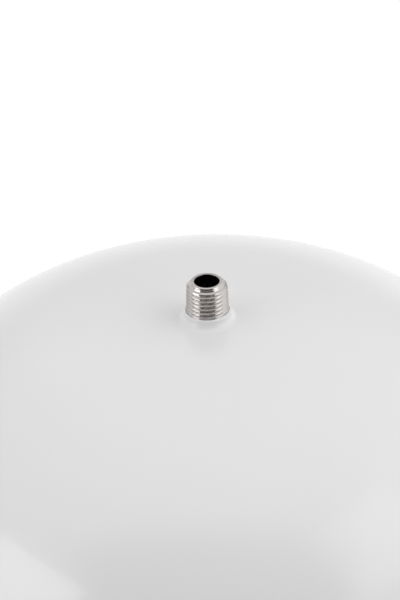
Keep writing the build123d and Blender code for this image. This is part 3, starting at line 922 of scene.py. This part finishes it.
class TANK_OT_valve_cap(bpy.types.Operator):
    """Moulds the air valve's cap with its grip ribs"""

    bl_idname = "tank.valve_cap"
    bl_label = "Valve Cap"

    def execute(self, context):
        sizes = context.scene.tank_valve
        mouth, end = CAP_LOW.x, CAP_HIGH.x
        ceiling = end - sizes.cap_end
        shoulder = end - sizes.cap_fillet
        crown = (sizes.cap_radius - sizes.cap_fillet, shoulder)
        dish = (sizes.cap_radius - 2 * sizes.cap_fillet, end)
        outline = [(0, ceiling), (sizes.cap_bore, ceiling), (sizes.cap_bore, mouth)]
        outline += rows((sizes.cap_radius, mouth), (sizes.cap_radius, shoulder), RIB_ROW)
        outline += arc(crown, sizes.cap_fillet, 0, math.pi / 2, EDGE_STEPS)[1:]
        outline += [dish, (dish[0] - sizes.cap_dish, end - sizes.cap_dish)]
        outline += [(0, end - sizes.cap_dish)]
        blank = lathe("cap_blank", rounded(outline, sizes.edge), RIB_FACES * sizes.rib_count)
        plastic = finish("cap_plastic")
        rib_pitch = FULL_TURN * sizes.cap_radius / sizes.rib_count
        run_tree(
            blank,
            ridge_tree(plastic),
            {
                "Count": sizes.rib_count, "Rise": sizes.rib_radius,
                "Width": sizes.rib_radius / rib_pitch, "Bow": 0.0, "Low": mouth,
                "High": mouth + sizes.rib_length, "Soft": sizes.rib_radius,
                "Base": sizes.cap_radius - sizes.edge,
            },
        )
        piece = baked(blank, "ribbed_cap", AROUND_X)
        finish_piece(piece, "cap", plastic, ["valve_cap"])
        return {"FINISHED"}


class TANK_OT_core_spring(bpy.types.Operator):
    """Winds the valve core's spring to the length of its packed solid"""

    bl_idname = "tank.core_spring"
    bl_label = "Core Spring"

    def execute(self, context):
        sizes = context.scene.tank_valve
        blank = bpy.data.objects.new("spring_blank", bpy.data.meshes.new("spring_blank"))
        context.scene.collection.objects.link(blank)
        steel = finish("zinc_plate")
        span = SPRING_HIGH.x - SPRING_LOW.x
        run_tree(
            blank,
            spring_tree(steel),
            {
                "Turns": sizes.spring_turns, "Radius": sizes.spring_coil,
                "Length": span - 2 * sizes.spring_wire, "Wire": sizes.spring_wire,
            },
        )
        place = Matrix.Translation((SPRING_LOW.x + sizes.spring_wire, 0, 0)) @ AROUND_X
        piece = baked(blank, "coiled_spring", place)
        finish_piece(piece, "tank", steel, ["core_spring"])
        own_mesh(piece)
        return {"FINISHED"}


class TANK_OT_valve(bpy.types.Operator):
    """Gives the air valve's washer, nut and core their finishes"""

    bl_idname = "tank.valve"
    bl_label = "Valve Core and Nut"

    def execute(self, context):
        dress({
            "valve_washer": "zinc_plate",
            "valve_nut": "nickel_plate",
            "core_plug": "turned_brass",
            "core_sleeve": "turned_brass",
            "core_gasket": "black_rubber",
            "core_pin": "turned_brass",
            "core_seal": "black_rubber",
        })
        return {"FINISHED"}


class TANK_OT_stand(bpy.types.Operator):
    """Moulds the ring stand: skirt, foot, seat under the tank and gussets between them"""

    bl_idname = "tank.stand"
    bl_label = "Ring Stand"

    def execute(self, context):
        sizes = context.scene.tank_stand
        shell = context.scene.tank_shell
        centre = (shell.radius - shell.knuckle, LOWER_LOW.z + end_depth(shell))
        seat = shell.knuckle + sizes.seat_gap
        under = seat + sizes.wall
        seat_top = math.asin((centre[1] - STAND_HIGH.z) / seat)
        under_top = math.acos((sizes.top - sizes.wall - centre[0]) / under)
        foot_inner = sizes.foot - sizes.foot_width
        outline = arc(centre, seat, -seat_top, -sizes.seat_end, SEAT_STEPS)
        outline += arc(centre, under, -sizes.seat_end, -under_top, SEAT_STEPS)
        outline += [(sizes.base - sizes.wall, sizes.foot_thickness)]
        outline += [(foot_inner, sizes.foot_thickness), (foot_inner, 0), (sizes.foot, 0)]
        outline += [(sizes.foot, sizes.foot_thickness), (sizes.base, sizes.foot_thickness)]
        skirt = Vector((sizes.top - sizes.base, STAND_HIGH.z - sizes.foot_thickness)).normalized()
        lip = (sizes.top - sizes.lip * skirt.y, STAND_HIGH.z - sizes.lip)
        outline += arc(lip, sizes.lip, -skirt.x, math.pi / 2, EDGE_STEPS - 1)
        blank = lathe("stand_blank", rounded(outline, sizes.edge), SHELL_FACES)
        plate = self.gusset(sizes, centre, seat)
        plastic = finish("stand_plastic")
        run_tree(blank, gusset_tree(plastic), {"Count": sizes.rib_count, "Plate": plate})
        piece = baked(blank, "ring_stand")
        bpy.data.objects.remove(plate)
        finish_piece(piece, "tank", plastic, ["base_stand"])
        return {"FINISHED"}

    def gusset(self, sizes, centre, seat):
        """One plate between the skirt, the foot and the seat, in the XZ plane."""
        middle = seat + sizes.wall / 2
        inset = sizes.wall / 2
        outer_top = (sizes.top - inset, STAND_HIGH.z - sizes.wall)
        lean = math.atan2(outer_top[1] - centre[1], outer_top[0] - centre[0])
        outline = arc(centre, middle, lean, sizes.rib_inset - sizes.seat_end, GUSSET_STEPS)
        outline += [(sizes.base - inset, sizes.rib_foot), outer_top]
        mesh = bpy.data.meshes.new("gusset")
        half = sizes.rib_thickness / 2
        points = [(x, side * half, z) for side in (-1, 1) for x, z in outline]
        count = len(outline)
        faces = [tuple(range(count)), tuple(range(2 * count - 1, count - 1, -1))]
        for k in range(count):
            after = (k + 1) % count
            faces.append((k, k + count, after + count, after))
        mesh.from_pydata(points, [], faces)
        build = bmesh.new()
        build.from_mesh(mesh)
        bmesh.ops.recalc_face_normals(build, faces=build.faces)
        build.to_mesh(mesh)
        build.free()
        plate = bpy.data.objects.new("gusset", mesh)
        bpy.context.scene.collection.objects.link(plate)
        return plate


class TANK_OT_stage(bpy.types.Operator):
    """Sets the floor, the lights and the camera"""

    bl_idname = "tank.stage"
    bl_label = "Stage"

    def execute(self, context):
        sizes = context.scene.tank_stage
        self.lay_floor(context, sizes)
        self.hang_lights(context)
        self.light_world(context)
        self.place_camera(context, sizes)
        context.scene.view_settings.view_transform = "Standard"
        return {"FINISHED"}

    def lay_floor(self, context, sizes):
        mesh = bpy.data.meshes.new("floor")
        build = bmesh.new()
        bmesh.ops.create_circle(build, cap_ends=True, segments=64, radius=sizes.floor_radius)
        build.to_mesh(mesh)
        build.free()
        floor = bpy.data.objects.new("floor", mesh)
        context.scene.collection.objects.link(floor)
        made, line, shader = new_finish("pale_floor", sizes.floor, roughness=0.8)
        grain = object_noise(line, 3.0, detail=2.0)
        tone = shaded(line, grain, scaled(sizes.floor, 0.995), sizes.floor)
        line.tree.links.new(tone, shader.inputs["Base Color"])
        shader.inputs["Emission Color"].default_value = (1, 1, 1, 1)
        path = line.add("ShaderNodeLightPath").outputs
        seen = line.maths("MAXIMUM", path["Is Camera Ray"], path["Is Glossy Ray"])
        glow = line.maths("MULTIPLY", seen, sizes.floor_glow)
        line.tree.links.new(glow, shader.inputs["Emission Strength"])
        mesh.materials.append(made)

    def hang_lights(self, context):
        middle = Vector((0, 0, UPPER_HIGH.z))
        for name, place, size, power in LAMPS:
            data = bpy.data.lights.new(name, "AREA")
            data.shape = "RECTANGLE"
            data.size, data.size_y = size
            data.energy = power
            lamp = bpy.data.objects.new(name, data)
            lamp.location = place
            aim = middle - Vector(place)
            lamp.rotation_euler = aim.to_track_quat("-Z", "Y").to_euler()
            lamp.visible_camera = False
            lamp.visible_glossy = name != "top_softbox"
            context.scene.collection.objects.link(lamp)

    def light_world(self, context):
        world = bpy.data.worlds.new("studio")
        world.use_nodes = True
        tree = world.node_tree
        tree.nodes.clear()
        line = NodeLine(tree)
        direction = line.add("ShaderNodeTexCoord").outputs["Generated"]
        split = line.add("ShaderNodeSeparateXYZ", {0: direction}).outputs
        aside = line.maths("ABSOLUTE", split[0])
        path = line.add("ShaderNodeLightPath").outputs
        glossy = path["Is Glossy Ray"]
        start, end = (
            line.ramp(glossy, 0.0, 1.0, plain, mirrored)
            for plain, mirrored in zip(SIDE_SPAN, SIDE_SPAN_GLOSSY)
        )
        sides = line.ramp(aside, start, end, smooth=True)
        back = line.ramp(split[1], *BACK_SPAN, smooth=True)
        walls = line.maths("MAXIMUM", sides, back)
        glow = line.maths("MULTIPLY_ADD", walls, WALL_GLOW, FRONT_GLOW)
        strength = line.ramp(glossy, 0.0, 1.0, WINDOW_GLOW, WINDOW_GLOW_GLOSSY)
        window = line.ramp(split[0], *WINDOW_SPAN, high=strength, smooth=True)
        glow = line.maths("ADD", glow, window)
        # The rear is dimmer, but not where low or high reflections would show it
        rear = line.ramp(split[1], *REAR_SPAN, high=REAR_DIM, smooth=True)
        high = line.ramp(split[2], *HIGH_SPAN)
        low = line.ramp(split[2], *LOW_SPAN, low=1.0, high=0.0)
        spared = line.maths("MULTIPLY", line.maths("MAXIMUM", high, low), glossy)
        dimmed = line.maths("MULTIPLY", rear, line.maths("SUBTRACT", 1.0, spared))
        glow = line.maths("ADD", glow, dimmed)
        level = line.maths("MAXIMUM", glow, path["Is Camera Ray"])
        sky = line.add("ShaderNodeBackground", {"Strength": level})
        line.add("ShaderNodeOutputWorld", {"Surface": sky.outputs[0]})
        context.scene.world = world

    def place_camera(self, context, sizes):
        data = bpy.data.cameras.new("photo_view")
        data.sensor_fit = "AUTO"
        data.sensor_width = 36.0
        data.lens = data.sensor_width * sizes.distance / sizes.frame_height
        data.clip_start, data.clip_end = 0.01, 60.0
        camera = bpy.data.objects.new("photo_view", data)
        turn = Matrix.Rotation(math.pi / 2 - sizes.elevation, 4, "X")
        turn = turn @ Matrix.Rotation(-sizes.roll, 4, "Z")
        pixel = sizes.frame_height / sizes.frame_pixels
        offset = (-sizes.nipple_right * pixel, sizes.nipple_down * pixel, sizes.distance)
        base = Vector((0, 0, UPPER_HIGH.z))
        place = base + turn.to_3x3() @ Vector(offset)
        camera.matrix_world = Matrix.Translation(place) @ turn
        context.scene.collection.objects.link(camera)
        context.scene.camera = camera


class TANK_PT_panel(bpy.types.Panel):
    """Lists the tank's steps in the sidebar"""

    bl_idname = "TANK_PT_panel"
    bl_label = "Storage Tank"
    bl_space_type = "VIEW_3D"
    bl_region_type = "UI"
    bl_category = "Tank"

    def draw(self, context):
        for step in STEPS:
            self.layout.operator(step.bl_idname)
        for name, group in SETTINGS.items():
            box = self.layout.box()
            box.label(text=group.__doc__)
            for key in group.__annotations__:
                box.prop(getattr(context.scene, name), key)


STEPS = (
    TANK_OT_upper_shell,
    TANK_OT_lower_shell,
    TANK_OT_girth_weld,
    TANK_OT_nipple,
    TANK_OT_inner_parts,
    TANK_OT_valve_stem,
    TANK_OT_valve_cap,
    TANK_OT_core_spring,
    TANK_OT_valve,
    TANK_OT_stand,
    TANK_OT_stage,
)


def register():
    for group in (*SETTINGS.values(), *STEPS, TANK_PT_panel):
        bpy.utils.register_class(group)
    for name, group in SETTINGS.items():
        setattr(bpy.types.Scene, name, PointerProperty(type=group))


def unregister():
    for name in SETTINGS:
        delattr(bpy.types.Scene, name)
    for group in (TANK_PT_panel, *STEPS[::-1], *SETTINGS.values()):
        bpy.utils.unregister_class(group)


def main():
    register()
    for step in STEPS:
        category, name = step.bl_idname.split(".")
        getattr(getattr(bpy.ops, category), name)()


if __name__ == "__main__":
    main()
